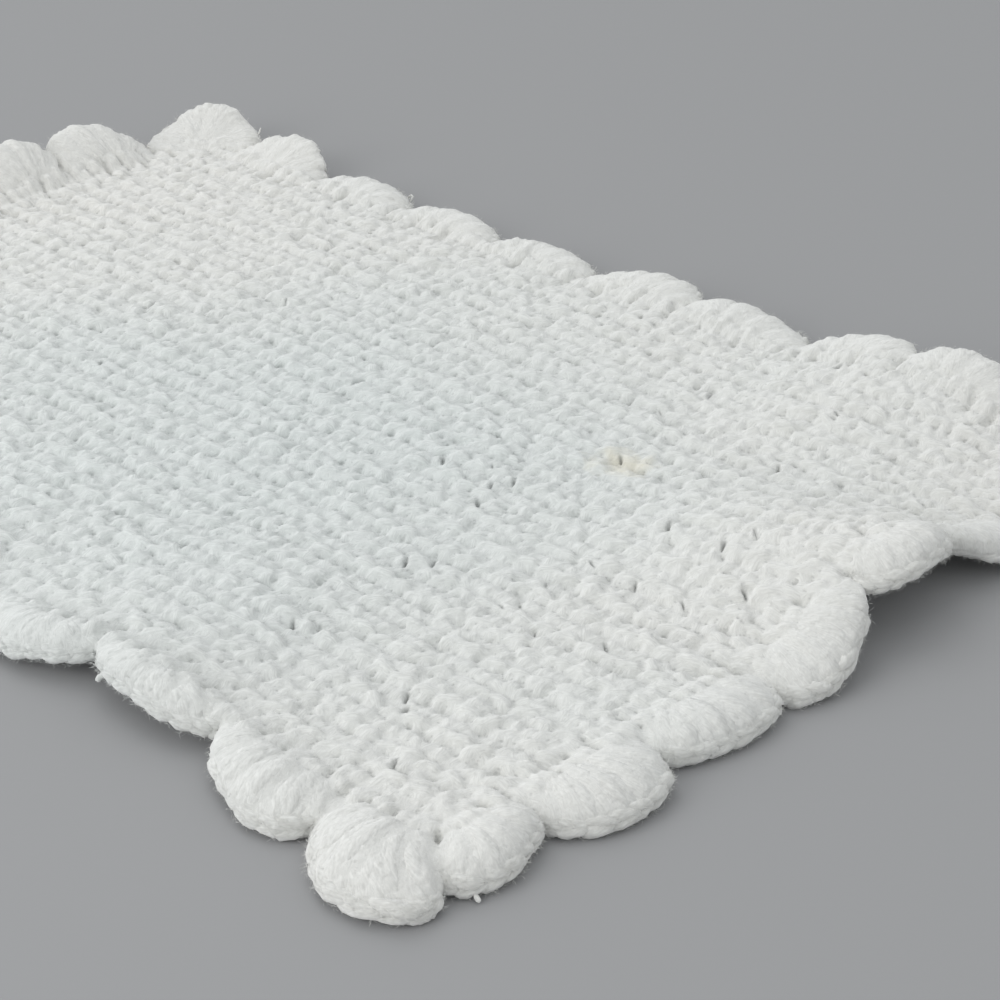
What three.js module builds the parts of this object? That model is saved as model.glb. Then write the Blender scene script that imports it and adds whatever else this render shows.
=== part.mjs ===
// A crochet placemat, lying on a table: a dense ground worked in single crochet, in rows along the long
// side, edged in the same yarn with a round of plump shells. It is one piece of work, so it is one solid.
// Millimetres, +Z up, +X along the long side; the origin is under the middle of the mat, on the table.
import * as THREE from "three";

// Driving dimensions
const HOLLOW_LENGTH = 431; // along X, between the hollows of the shells on opposite edges
const HOLLOW_WIDTH = 301; // along Y, likewise
const CORNER_RADIUS = 20; // of the line that the hollows follow
const SHELL_REACH = 12; // how far the crown of a shell stands past the hollows beside it
const SHELL_UNEVEN = 0.1; // share by which hand work makes that reach differ
const UNEVEN_TURN = 2.4; // radians from one shell to the next of the sine that this follows
const SHELL_FOOT = 13; // from the line of the hollows in to the foot of the shells
const FAN_PINCH = 0.45; // share by which a shell's posts draw together at its foot
const POSTS = 6; // double crochet posts that show on a shell
const POST_RELIEF = 0.5; // height of a post above the grooves beside it, halved
const GROUND_THICK = 6.5;
const RIDGES = 23; // across the ground, one for each pair of rows
const RIDGE_RELIEF = 0.7; // height of a ridge above the grooves beside it, halved
const GROUND_INSET = 4; // from the foot of the shells in to the ground's own grid of points
const TOP_STEPS = 32; // of the ground's upper face along X
const UNDER_STEPS = { along: 26, across: 18 }; // of its underside

// The hollows between the shells, walking round the mat with its middle on the left. Each edge has its first
// and last hollow as distances from its own middle, in the direction of the walk; a corner has one shell.
const EDGES = [
  { name: "near_short", normal: [1, 0], first: -152, last: 131, shells: 7 },
  { name: "far_long", normal: [0, 1], first: -178, last: 182, shells: 8 },
  { name: "far_short", normal: [-1, 0], first: -121, last: 150, shells: 7 },
  { name: "near_long", normal: [0, -1], first: -187, last: 176, shells: 8 },
];

// Hand work: where a hollow strays along the walk or outwards, and where the shell that follows it has
// another reach or leans along the walk.
const STRAYS = [
  { edge: "near_short", hollow: 0, along: -1, out: 6, reach: 0.45 },
  { edge: "near_short", hollow: 1, along: -4, out: -1, reach: 1.1 },
  { edge: "near_short", hollow: 2, along: -3, out: 0, reach: 0.85 },
  { edge: "near_short", hollow: 3, along: 1, out: 3, reach: 0.9 },
  { edge: "near_short", hollow: 4, along: 4, out: -3 },
  { edge: "near_short", hollow: 5, along: 4, out: -5 },
  { edge: "far_long", hollow: 1, along: -1, out: 2 },
  { edge: "far_long", hollow: 2, along: -4, out: 1 },
  { edge: "far_long", hollow: 3, along: -1, out: 2, reach: 0.9 },
  { edge: "far_long", hollow: 4, along: -1, out: -2, reach: 0.9 },
  { edge: "far_long", hollow: 5, along: 2, out: -2 },
  { edge: "far_long", hollow: 6, along: 3, out: -2 },
  { edge: "far_long", hollow: 7, along: 4, out: -2, reach: 1.1 },
  { edge: "far_long", hollow: 8, along: 4, out: 1, reach: 1.25, lean: -3 },
  { edge: "far_short", hollow: 0, along: 0, out: -2 },
  { edge: "far_short", hollow: 1, along: 6, out: 3 },
  { edge: "near_long", hollow: 5, along: -2, out: -5 },
  { edge: "near_long", hollow: 6, along: -3, out: -8, reach: 0.85 },
  { edge: "near_long", hollow: 7, along: 0, out: -7, reach: 1.05 },
  { edge: "near_long", hollow: 8, along: 0, out: 3, reach: 1.6, lean: 8 },
];

// Section of a shell, from its foot over the crown and round the rim to the underside: share of the way from
// foot to rim, height at a hollow, and what the crown adds to it.
const SECTION = [
  { share: 0, level: 5.6, crown: 0 },
  { share: 0.28, level: 6.2, crown: 2.8 },
  { share: 0.58, level: 5.8, crown: 4.2 },
  { share: 0.86, level: 5.2, crown: 3.2 },
  { share: 1, level: 2.4, crown: 1.4 },
  { share: 0.93, level: 0, crown: 0 },
  { share: 0, level: 0, crown: 0 },
];
const RIDGED_SECTION = { from: 1, to: 3 }; // the rows of the section that show the posts

// Low folds in which the mat lies: a crest from an edge inwards or along a curled edge, half the fold's
// width, and the crest's two heights.
const FOLDS = [
  { name: "lifted shells", from: [226, 33], to: [105, 12], half: 55, start: 17, end: 0 },
  { name: "near swell", from: [104, -172], to: [50, -30], half: 62, start: 6.5, end: 0 },
  { name: "right swell", from: [150, 172], to: [115, 60], half: 62, start: 12.5, end: 0 },
  { name: "far swell", from: [42, 165], to: [42, 100], half: 40, start: 3.5, end: 0 },
  { name: "curled far edge", from: [-238, 96], to: [-238, 36], half: 44, start: 16, end: 19.5 },
  { name: "curled corner", from: [-226, 176], to: [-202, 146], half: 38, start: 28, end: 0 },
  { name: "curled shell", from: [-178, 174], to: [-158, 176], half: 30, start: 12, end: 19 },
];

const COLUMNS = 2 * POSTS; // points across one shell, a groove and a crest for each post
const edgeLength = (edge) => (edge.normal[0] === 0 ? HOLLOW_LENGTH : HOLLOW_WIDTH);
const edgeStarts = EDGES.map((_, i) => EDGES.slice(0, i).reduce((sum, edge) => sum + edgeLength(edge), 0));
const PERIMETER = 2 * (HOLLOW_LENGTH + HOLLOW_WIDTH);
const mix = (a, b, t) => a + (b - a) * t;
const smooth = (t) => (1 - Math.cos(Math.PI * t)) / 2;

// How far the folds lift the mat off the table at a point.
function liftAt(x, y) {
  let lift = 0;
  for (const { from, to, half, start, end } of FOLDS) {
    const run = [to[0] - from[0], to[1] - from[1]];
    const along = ((x - from[0]) * run[0] + (y - from[1]) * run[1]) / (run[0] ** 2 + run[1] ** 2);
    const t = Math.min(1, Math.max(0, along));
    const away = Math.hypot(x - from[0] - t * run[0], y - from[1] - t * run[1]);
    if (away < half) lift += mix(start, end, smooth(t)) * smooth(1 - away / half);
  }
  return lift;
}

// A point on the line of the hollows at a distance along the walk, moved outwards by an offset. Each corner
// is an arc that takes up one corner radius of the walk on either side of it.
function pointAt(distance, offset) {
  const walked = ((distance % PERIMETER) + PERIMETER) % PERIMETER;
  const index = edgeStarts.findLastIndex((start) => start <= walked);
  const [nx, ny] = EDGES[index].normal;
  const half = edgeLength(EDGES[index]) / 2;
  const along = walked - edgeStarts[index] - half;
  const straight = half - CORNER_RADIUS;
  const past = Math.max(0, Math.abs(along) - straight) * Math.sign(along);
  const turn = ((past / CORNER_RADIUS) * Math.PI) / 4;
  const across = (nx === 0 ? HOLLOW_WIDTH : HOLLOW_LENGTH) / 2 - CORNER_RADIUS;
  const out = across + (CORNER_RADIUS + offset) * Math.cos(turn);
  const on = Math.min(straight, Math.max(-straight, along)) + (CORNER_RADIUS + offset) * Math.sin(turn);
  return [out * nx - on * ny, out * ny + on * nx];
}

// Every hollow in the order of the walk.
function hollows() {
  return EDGES.flatMap((edge, index) =>
    Array.from({ length: edge.shells + 1 }, (_, hollow) => {
      const stray = STRAYS.find((row) => row.edge === edge.name && row.hollow === hollow);
      const even = mix(edge.first, edge.last, hollow / edge.shells);
      const { along = 0, out = 0, reach = 1, lean = 0 } = stray ?? {};
      return { at: edgeStarts[index] + edgeLength(edge) / 2 + even + along, out, reach, lean };
    }),
  );
}

// The points of one row of the shells' section, all the way round the mat.
function sectionRing({ share, level, crown }, relief) {
  const list = hollows();
  return list.flatMap((hollow, index) => {
    const next = list[(index + 1) % list.length];
    const width = (next.at - hollow.at + PERIMETER) % PERIMETER;
    const reach = SHELL_REACH * hollow.reach * (1 + SHELL_UNEVEN * Math.sin(UNEVEN_TURN * index));
    return Array.from({ length: COLUMNS }, (_, column) => {
      const angle = (Math.PI * column) / COLUMNS;
      const spread = -Math.cos(angle) / 2;
      const swell = Math.sin(angle);
      const drawn = column === 0 ? 1 : 1 - FAN_PINCH * (1 - share);
      const line = mix(hollow.out, next.out, smooth(spread + 0.5));
      const rim = line + reach * swell;
      const along = hollow.at + width * (0.5 + spread * drawn) + hollow.lean * swell * share;
      const [x, y] = pointAt(along, mix(-SHELL_FOOT, rim, share));
      const post = column % 2 === 1 ? relief : -relief;
      return [x, y, level + crown * swell + post + liftAt(x, y)];
    });
  });
}

// A grid of points over the ground, row by row from the near long edge.
function groundGrid(along, across, heightAt) {
  const halfX = HOLLOW_LENGTH / 2 - SHELL_FOOT - GROUND_INSET;
  const halfY = HOLLOW_WIDTH / 2 - SHELL_FOOT - GROUND_INSET;
  const points = [];
  for (let j = 0; j <= across; j += 1) {
    for (let i = 0; i <= along; i += 1) {
      const x = mix(-halfX, halfX, i / along);
      const y = mix(-halfY, halfY, j / across);
      points.push([x, y, heightAt(j) + liftAt(x, y)]);
    }
  }
  const at = (i, j) => j * (along + 1) + i;
  const border = [
    ...Array.from({ length: across }, (_, j) => at(along, j)),
    ...Array.from({ length: along }, (_, i) => at(along - i, across)),
    ...Array.from({ length: across }, (_, j) => at(0, across - j)),
    ...Array.from({ length: along }, (_, i) => at(i, 0)),
  ];
  return { points, at, border, halfX, halfY, along, across };
}

// Place of a point along the border of the ground's grid: 0 to 1 on the first edge of the walk, and so on.
function borderPlace([x, y], { halfX, halfY }) {
  const alongX = Math.min(1, Math.max(0, (x + halfX) / (2 * halfX)));
  const alongY = Math.min(1, Math.max(0, (y + halfY) / (2 * halfY)));
  const past = { x: Math.abs(x) - halfX, y: Math.abs(y) - halfY };
  if (past.x >= past.y) return x > 0 ? alongY : 3 - alongY;
  return y > 0 ? 2 - alongX : 3 + alongX;
}

// The mat's closed surface: both faces of the ground, with the ring of shells between them.
function matGeometry() {
  const vertices = [];
  const faces = [];
  const keep = (points) => {
    const first = vertices.length;
    vertices.push(...points);
    return points.map((_, i) => first + i);
  };
  const face = (a, b, c, flip) => faces.push(flip ? [a, c, b] : [a, b, c]);

  const rings = SECTION.map((row, index) => {
    const ridged = index >= RIDGED_SECTION.from && index <= RIDGED_SECTION.to;
    return keep(sectionRing(row, ridged ? POST_RELIEF : 0));
  });
  for (let r = 0; r + 1 < rings.length; r += 1) {
    rings[r].forEach((a, i) => {
      const next = (i + 1) % rings[r].length;
      face(rings[r + 1][i], rings[r + 1][next], rings[r][next], false);
      face(rings[r + 1][i], rings[r][next], a, false);
    });
  }

  // One face of the ground, joined to the ring of points at the shells' foot.
  const ground = (grid, ring, flip) => {
    const ids = keep(grid.points);
    for (let j = 0; j < grid.across; j += 1) {
      for (let i = 0; i < grid.along; i += 1) {
        const [a, b] = [ids[grid.at(i, j)], ids[grid.at(i + 1, j)]];
        const [c, d] = [ids[grid.at(i + 1, j + 1)], ids[grid.at(i, j + 1)]];
        face(a, b, c, flip);
        face(a, c, d, flip);
      }
    }
    const inner = grid.border.map((k) => ids[k]);
    const turned = (list) => {
      const places = list.map((id) => borderPlace(vertices[id], grid));
      const first = places.indexOf(Math.min(...places));
      const order = list.map((_, i) => (first + i) % list.length);
      const sorted = order.map((i) => ({ id: list[i], place: places[i] }));
      return [...sorted, { id: sorted[0].id, place: sorted[0].place + EDGES.length }];
    };
    const outside = turned(ring);
    const inside = turned(inner);
    let [o, i] = [0, 0];
    while (o + 1 < outside.length || i + 1 < inside.length) {
      const stepOut = i + 1 === inside.length
        || (o + 1 < outside.length && outside[o + 1].place <= inside[i + 1].place);
      if (stepOut) {
        face(outside[o].id, outside[o + 1].id, inside[i].id, flip);
        o += 1;
      } else {
        face(inside[i + 1].id, inside[i].id, outside[o].id, flip);
        i += 1;
      }
    }
  };
  const ridgeHeight = (j) => GROUND_THICK + (j % 2 === 1 ? RIDGE_RELIEF : -RIDGE_RELIEF);
  ground(groundGrid(TOP_STEPS, 2 * RIDGES, ridgeHeight), rings[0], false);
  ground(groundGrid(UNDER_STEPS.along, UNDER_STEPS.across, () => 0), rings.at(-1), true);

  const geometry = new THREE.BufferGeometry();
  geometry.setAttribute("position", new THREE.Float32BufferAttribute(vertices.flat(), 3));
  geometry.setIndex(faces.flat());
  geometry.computeBoundingBox();
  const middle = geometry.boundingBox.getCenter(new THREE.Vector3());
  geometry.translate(-middle.x, -middle.y, 0);
  geometry.computeVertexNormals();
  return geometry;
}

const cotton = new THREE.MeshStandardMaterial({ color: "#e8e9e6", roughness: 0.95, metalness: 0 });
const placemat = new THREE.Mesh(matGeometry(), cotton);
placemat.name = "placemat";

const mat = new THREE.Group();
mat.add(placemat);

export default mat;
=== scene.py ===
import math

import bpy
import numpy as np
from mathutils import Matrix, Vector
from mathutils.bvhtree import BVHTree
from mathutils.kdtree import KDTree


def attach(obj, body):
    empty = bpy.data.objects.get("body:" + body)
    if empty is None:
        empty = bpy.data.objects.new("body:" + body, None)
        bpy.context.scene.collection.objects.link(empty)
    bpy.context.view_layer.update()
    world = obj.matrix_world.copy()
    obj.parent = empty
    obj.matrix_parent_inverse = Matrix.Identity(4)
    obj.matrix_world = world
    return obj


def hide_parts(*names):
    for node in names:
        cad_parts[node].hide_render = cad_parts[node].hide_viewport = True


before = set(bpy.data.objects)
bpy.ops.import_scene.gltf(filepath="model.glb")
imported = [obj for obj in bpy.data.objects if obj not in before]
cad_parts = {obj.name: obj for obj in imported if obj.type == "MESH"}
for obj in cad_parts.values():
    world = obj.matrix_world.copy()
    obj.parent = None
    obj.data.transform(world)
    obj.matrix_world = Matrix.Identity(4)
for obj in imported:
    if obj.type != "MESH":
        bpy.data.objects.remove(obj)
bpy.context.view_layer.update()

# The body of the cloth
# Under and between the strands that show, the fabric is a dense sheet of the same soft, loosely spun white
# cotton. It is the mat's solid, drawn in by less than half a strand, so it lies in the same folds.
MM = 0.001
DRAWN_IN = 1.6 * MM
DRAWN_DOWN = 0.5
FACES_UP = 0.6
# the cotton's colour at the lighter and darker ends of its fibre streaks: partly its own tone, partly
# painted fibre highlight and shade; the cool pair carries painted bluish shade, the warm pair painted warmer
# light
COOL_COTTON_WITH_FIBRE_HIGHLIGHT = (0.828, 0.855, 0.842, 1)
COOL_COTTON_WITH_FIBRE_SHADE = (0.672, 0.697, 0.685, 1)
WARM_COTTON_WITH_FIBRE_HIGHLIGHT = (0.89, 0.885, 0.86, 1)
WARM_COTTON_WITH_FIBRE_SHADE = (0.745, 0.74, 0.714, 1)
# painted light: where the cool, shade-like tint of the middle gives way to the warm, light-like tint of the
# edges
COOL_MIDDLE = (0.02, -0.04, 0)
COOL_WITHIN = 0.1
WARM_BEYOND = 0.34
WARMTH_UNEVEN = 0.16
PATCH_SCALE = 9
FIBRE_STRETCH = (0.35, 1.6, 1)
TUFT_SCALE = 420
TUFT_RELIEF = 0.6 * MM
STAIN_COLOUR = (0.82, 0.775, 0.64, 1)
STAIN_PLACE = (0.1055, 0.0434, 0.008)
STAIN_UNEVEN = -16 * MM
STAIN_GRAIN = 160
STAIN_FULL_WITHIN = -4 * MM
STAIN_GONE_BEYOND = 4 * MM
STAIN_STRENGTH = 0.5
# painted shade: the colour and share by which the creases and gaps are darkened, standing in for the shade
# that falls there
PAINTED_CREASE_SHADE_COLOUR = (0.3, 0.31, 0.31, 1)
PAINTED_CREASE_SHADE_STRENGTH = 0.3

cotton = bpy.data.materials.new("white_cotton_yarn")
cotton.use_nodes = True
tree = cotton.node_tree
link = tree.links.new
tree.nodes.clear()


def add_node(kind, inputs=None, **settings):
    """A node of the cotton's material, with its settings and the values of its sockets."""
    node = tree.nodes.new(kind)
    for name, value in settings.items():
        setattr(node, name, value)
    for socket, value in (inputs or {}).items():
        node.inputs[socket].default_value = value
    return node


surface = add_node("ShaderNodeOutputMaterial")
shader = add_node("ShaderNodeBsdfPrincipled", {
    "Roughness": 0.92, "Diffuse Roughness": 1, "Specular IOR Level": 0.12,
    "Sheen Weight": 0.2, "Sheen Roughness": 0.5,
})
link(shader.outputs["BSDF"], surface.inputs["Surface"])
on_object = add_node("ShaderNodeTexCoord").outputs["Object"]


def noise_over_mat(scale, detail):
    """Socket of a noise over the mat."""
    noise = add_node("ShaderNodeTexNoise", {"Scale": scale, "Detail": detail})
    link(on_object, noise.inputs["Vector"])
    return noise.outputs["Fac"]


def uneven_distance(place, noise, share):
    """Socket of the distance from a place on the mat, plus a share of a noise."""
    distance = add_node("ShaderNodeVectorMath", {1: place}, operation="DISTANCE")
    link(on_object, distance.inputs[0])
    uneven = add_node("ShaderNodeMath", {1: share}, operation="MULTIPLY_ADD")
    link(noise, uneven.inputs[0])
    link(distance.outputs["Value"], uneven.inputs[2])
    return uneven.outputs["Value"]


def spread_out(value, ranges, **settings):
    """Socket of a value spread out from one range to another."""
    node = add_node("ShaderNodeMapRange", ranges, **settings)
    link(value, node.inputs["Value"])
    return node.outputs["Result"]


# sockets of a Mix node for colours
MIX_FIRST = 6
MIX_SECOND = 7
MIX_RESULT = 2


def mix_colours(share, first, second, blend="MIX"):
    """Socket of a mix of two colours, each of them given or another node's socket."""
    node = add_node("ShaderNodeMix", data_type="RGBA", blend_type=blend)
    link(share, node.inputs["Factor"])
    for socket, colour in ((MIX_FIRST, first), (MIX_SECOND, second)):
        if isinstance(colour, tuple):
            node.inputs[socket].default_value = colour
        else:
            link(colour, node.inputs[socket])
    return node.outputs[MIX_RESULT]


# long fibres streak along each strand, their streaks partly the fibres' own tone and partly painted fibre
# highlights and shade, and short tufts roughen it
along_strand = add_node("ShaderNodeUVMap", uv_map="strand")
stretched = add_node("ShaderNodeMapping", {"Scale": FIBRE_STRETCH})
link(along_strand.outputs["UV"], stretched.inputs["Vector"])
fibres = add_node("ShaderNodeTexNoise", {"Scale": 1, "Detail": 3, "Roughness": 0.6})
link(stretched.outputs["Vector"], fibres.inputs["Vector"])
fibre_streaks_and_highlights = spread_out(fibres.outputs["Fac"], {"From Min": 0.35, "From Max": 0.7})
relief = add_node("ShaderNodeBump", {"Strength": 1, "Distance": TUFT_RELIEF})
link(noise_over_mat(TUFT_SCALE, detail=2), relief.inputs["Height"])
link(relief.outputs["Normal"], shader.inputs["Normal"])

# painted light: the white is tinted cooler in the middle of the mat, as in bluish shade, and warmer towards
# its edges, as in warmer light
from_middle = uneven_distance(COOL_MIDDLE, noise_over_mat(PATCH_SCALE, detail=1), WARMTH_UNEVEN)
painted_light_warmth = spread_out(
    from_middle, {"From Min": COOL_WITHIN, "From Max": WARM_BEYOND}, interpolation_type="SMOOTHSTEP")
cool_shaded_cotton = mix_colours(fibre_streaks_and_highlights, COOL_COTTON_WITH_FIBRE_SHADE, COOL_COTTON_WITH_FIBRE_HIGHLIGHT)
warm_lit_cotton = mix_colours(fibre_streaks_and_highlights, WARM_COTTON_WITH_FIBRE_SHADE, WARM_COTTON_WITH_FIBRE_HIGHLIGHT)
light_tinted = mix_colours(painted_light_warmth, cool_shaded_cotton, warm_lit_cotton)

# near one short edge it has a faint yellowish stain, and shade is painted darker into the creases between
# strands
from_stain = uneven_distance(STAIN_PLACE, noise_over_mat(STAIN_GRAIN, detail=3), STAIN_UNEVEN)
stain = spread_out(from_stain, {
    "From Min": STAIN_FULL_WITHIN, "From Max": STAIN_GONE_BEYOND, "To Min": STAIN_STRENGTH, "To Max": 0,
})
stained = mix_colours(stain, light_tinted, STAIN_COLOUR)
# painted shade: an attribute of the face darkens the cotton's colour in its creases and gaps
crease_shade_reader = add_node("ShaderNodeAttribute", attribute_name="crease")
painted_shade_share = add_node("ShaderNodeMath", {1: PAINTED_CREASE_SHADE_STRENGTH}, operation="MULTIPLY")
link(crease_shade_reader.outputs["Fac"], painted_shade_share.inputs[0])
with_painted_shade = mix_colours(painted_shade_share.outputs["Value"], stained, PAINTED_CREASE_SHADE_COLOUR, "MULTIPLY")
link(with_painted_shade, shader.inputs["Base Color"])


def take_copy(original, name):
    """A copy of an object with its own mesh, free of the frame, as the active object."""
    bpy.ops.object.select_all(action="DESELECT")
    original.select_set(True)
    bpy.context.view_layer.objects.active = original
    bpy.ops.object.duplicate()
    copy = bpy.context.active_object
    copy.name = copy.data.name = name
    for mark in [key for key in copy.keys() if key.startswith("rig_")]:
        del copy[mark]
    copy.parent = None
    return copy


def read_out(items, name, width, kind=float):
    """One property of a mesh's points, corners or faces, as an array."""
    values = np.empty(len(items) * width, kind)
    items.foreach_get(name, values)
    return values.reshape(-1, width) if width > 1 else values


cloth = take_copy(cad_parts["placemat"], "cloth")
cloth.data.materials.clear()
cloth.data.materials.append(cotton)
bpy.ops.object.mode_set(mode="EDIT")
bpy.ops.mesh.select_all(action="SELECT")
bpy.ops.mesh.remove_doubles(threshold=1e-5)
bpy.ops.object.mode_set(mode="OBJECT")
solid_points = read_out(cloth.data.vertices, "co", 3)
solid_faces = [tuple(face.vertices) for face in cloth.data.polygons]
drawn_most = cloth.vertex_groups.new(name="drawn_in")
for point in cloth.data.vertices:
    drawn_most.add([point.index], DRAWN_DOWN if point.normal.z > FACES_UP else 1, "REPLACE")
drawn = cloth.modifiers.new("drawn_in", "DISPLACE")
drawn.vertex_group = "drawn_in"
drawn.direction = "NORMAL"
drawn.mid_level = 0
drawn.strength = -DRAWN_IN
bpy.ops.object.modifier_apply(modifier=drawn.name)
bpy.ops.object.shade_smooth()
for point in cloth.data.vertices:
    point.co.z = max(point.co.z, 0)
along_rows = cloth.data.uv_layers.new(name="strand")
for corner, loop in zip(along_rows.data, cloth.data.loops):
    corner.uv = cloth.data.vertices[loop.vertex_index].co.xy / MM

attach(cloth, "root")
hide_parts("placemat")

# The ground
# Single crochet worked back and forth, in rows along the long side. A row seen from its front shows a V of
# two legs for each stitch; a row seen from its back shows a bar over two legs, and stands up as a low ridge.
STITCHES = 53
RIDGES = 23
GROUND_HALF = (198.5 * MM, 133.5 * MM)
LEG_RADIUS = 2.2 * MM
BAR_RADIUS = 1.9 * MM
GROUND_FLAT = 0.95
THICKNESS_STRAY = 0.12
random = np.random.default_rng(41)

# a strand's thickness in its middle and its loss at the ends, how uneven it is, how far its sides sit up,
# and its fibres' twist, shift and seam
STRAND_FULL = 1.08
STRAND_TAPER = 0.5
LUMPS = 0.09
SIDES_UP = 0.3
TWIST = 0.35
FIBRE_SHIFT = 60
SEAM_LOW = 0.3
SEAM_SPAN = 0.6


def model_strand(sides, steps):
    """A strand of yarn from 0 to 1 along +Z: its points, its faces and its thickness at each step."""
    bpy.ops.object.select_all(action="DESELECT")
    bpy.ops.mesh.primitive_cylinder_add(vertices=sides, radius=1, depth=1, location=(0, 0, 0.5))
    strand = bpy.context.active_object
    bpy.ops.object.transform_apply(location=True, rotation=True, scale=True)
    bpy.ops.object.mode_set(mode="EDIT")
    for step in range(1, steps):
        bpy.ops.mesh.select_all(action="SELECT")
        bpy.ops.mesh.bisect(plane_co=(0, 0, step / steps), plane_no=(0, 0, 1))
    bpy.ops.object.mode_set(mode="OBJECT")
    points = np.array([point.co for point in strand.data.vertices])
    faces = [tuple(face.vertices) for face in strand.data.polygons]
    bpy.data.objects.remove(strand)
    from_middle = np.abs(np.linspace(-1, 1, steps + 1))
    return points, faces, STRAND_FULL - STRAND_TAPER * from_middle ** 3


ground_strand = model_strand(sides=6, steps=4)
low_strand = model_strand(sides=5, steps=2)


def curve_through(points, steps):
    """Smooth curves through each row of points, read at a number of even steps."""
    last = points.shape[1] - 1
    at = np.linspace(0, last, steps + 1)
    low = np.minimum(at.astype(int), last - 1)
    t = (at - low)[None, :, None]
    before = points[:, np.maximum(low - 1, 0)]
    start = points[:, low]
    end = points[:, low + 1]
    after = points[:, np.minimum(low + 2, last)]
    return 0.5 * (2 * start + (end - before) * t + (2 * before - 5 * start + 4 * end - after) * t ** 2
                  + (3 * start - before - 3 * end + after) * t ** 3)


def unit(vectors):
    """Vectors brought to a length of 1."""
    return vectors / np.maximum(np.linalg.norm(vectors, axis=-1, keepdims=True), 1e-12)


def share_of_turn(angle):
    """Shares of a turn at a face's corners; on a face over the seam, low ones go on past a whole turn."""
    turn = angle / (2 * math.pi) + 0.5
    over_seam = turn.max() - turn.min() > SEAM_SPAN
    return np.where(over_seam & (turn < SEAM_LOW), turn + 1, turn)


def make_piece(name, points, corners, starts, fibres=None):
    """A piece of cotton from its points, its corners' points, its faces' first corners and its fibres."""
    mesh = bpy.data.meshes.new(name)
    mesh.vertices.add(points.size // 3)
    mesh.vertices.foreach_set("co", points.reshape(-1))
    mesh.loops.add(corners.size)
    mesh.loops.foreach_set("vertex_index", corners.reshape(-1))
    mesh.polygons.add(starts.size)
    mesh.polygons.foreach_set("loop_start", starts.reshape(-1))
    mesh.polygons.foreach_set("use_smooth", np.ones(starts.size, bool))
    mesh.update(calc_edges=True)
    if fibres is not None:
        layer = mesh.uv_layers.new(name="strand")
        layer.data.foreach_set("uv", fibres.reshape(-1))
    mesh.validate()
    piece = bpy.data.objects.new(name, mesh)
    bpy.context.scene.collection.objects.link(piece)
    mesh.materials.append(cotton)
    return piece


laid = {}  # by the name of each mesh of yarn: places on each strand, its run, sides, thickness and shift


def lay_strands(name, strand, paths, radius, flat):
    """One mesh of yarn: the modelled strand laid along each path with its thickness, and flattened."""
    strand_points, strand_faces, swell = strand
    steps = len(swell) - 1
    centres = curve_through(paths, steps)
    count = len(centres)
    runs = unit(np.gradient(centres, axis=1))
    sides = unit(np.cross(runs, (0, 0, 1)))
    ups = np.cross(sides, runs)
    radius = np.asarray(radius, float).reshape(count, -1)
    if radius.shape[1] > 1:
        radius = curve_through(radius[..., None], steps)[..., 0]
    radius = radius * swell
    level = np.rint(strand_points[:, 2] * steps).astype(int)
    angle = np.arctan2(strand_points[:, 0], strand_points[:, 1])
    angle = angle - SIDES_UP * np.sin(angle)
    reach = radius[:, level, None] * random.normal(1, LUMPS, (count, len(level), 1))
    points = centres[:, level] + reach * (np.sin(angle)[:, None] * sides[:, level]
                                          + flat * np.cos(angle)[:, None] * ups[:, level])
    points[..., 2] = np.maximum(points[..., 2], 0)
    shift = random.uniform(0, FIBRE_SHIFT, count)
    laid[name] = centres, runs, sides, ups, radius, shift

    corners = np.concatenate([np.array(face) for face in strand_faces])
    sizes = np.array([len(face) for face in strand_faces])
    starts = np.concatenate([[0], np.cumsum(sizes)[:-1]])
    turns = np.concatenate([share_of_turn(angle[list(face)]) for face in strand_faces])
    lengths = np.linalg.norm(np.diff(centres, axis=1), axis=2).sum(1)
    along = shift[:, None] + strand_points[corners, 2][None] * lengths[:, None] / MM
    around = shift[::-1, None] + turns[None] * 2 * math.pi * radius.mean(1)[:, None] / MM + TWIST * along
    number = np.arange(count)[:, None]
    return make_piece(name, points, number * len(strand_points) + corners, number * len(corners) + starts,
                      np.stack([along, around], -1))


def hand_in(piece):
    """A finished piece of the yarn, part of the one body."""
    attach(piece, "root")


solid_tree = BVHTree.FromPolygons(solid_points.tolist(), solid_faces)
ABOVE_ALL = 1
ABOVE_GROUND = 20 * MM


def face_height(x, y):
    """Height of the solid's upper face at each place; off the solid, that of the nearest point on it."""
    heights = np.empty(x.size)
    for i, (px, py) in enumerate(zip(x.ravel(), y.ravel())):
        hit = solid_tree.ray_cast(Vector((px, py, ABOVE_ALL)), Vector((0, 0, -1)))[0]
        if hit is None:
            hit = solid_tree.find_nearest(Vector((px, py, ABOVE_GROUND)))[0]
        heights[i] = hit.z
    return heights.reshape(x.shape)


# the low folds in which the mat lies, in millimetres: a crest from one place to another, half the fold's
# width, and the crest's height at both ends; the frame's middle lies at CENTRING among these places
FOLDS = (
    ((226, 33), (105, 12), 55, 17, 0),
    ((104, -172), (50, -30), 62, 6.5, 0),
    ((150, 172), (115, 60), 62, 12.5, 0),
    ((42, 165), (42, 100), 40, 3.5, 0),
    ((-238, 96), (-238, 36), 44, 16, 19.5),
    ((-226, 176), (-202, 146), 38, 28, 0),
    ((-178, 174), (-158, 176), 30, 12, 19),
)
CENTRING = (0.2 * MM, -3.5 * MM)


def smooth(t):
    """A soft step from 0 to 1."""
    return (1 - np.cos(math.pi * t)) / 2


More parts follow.
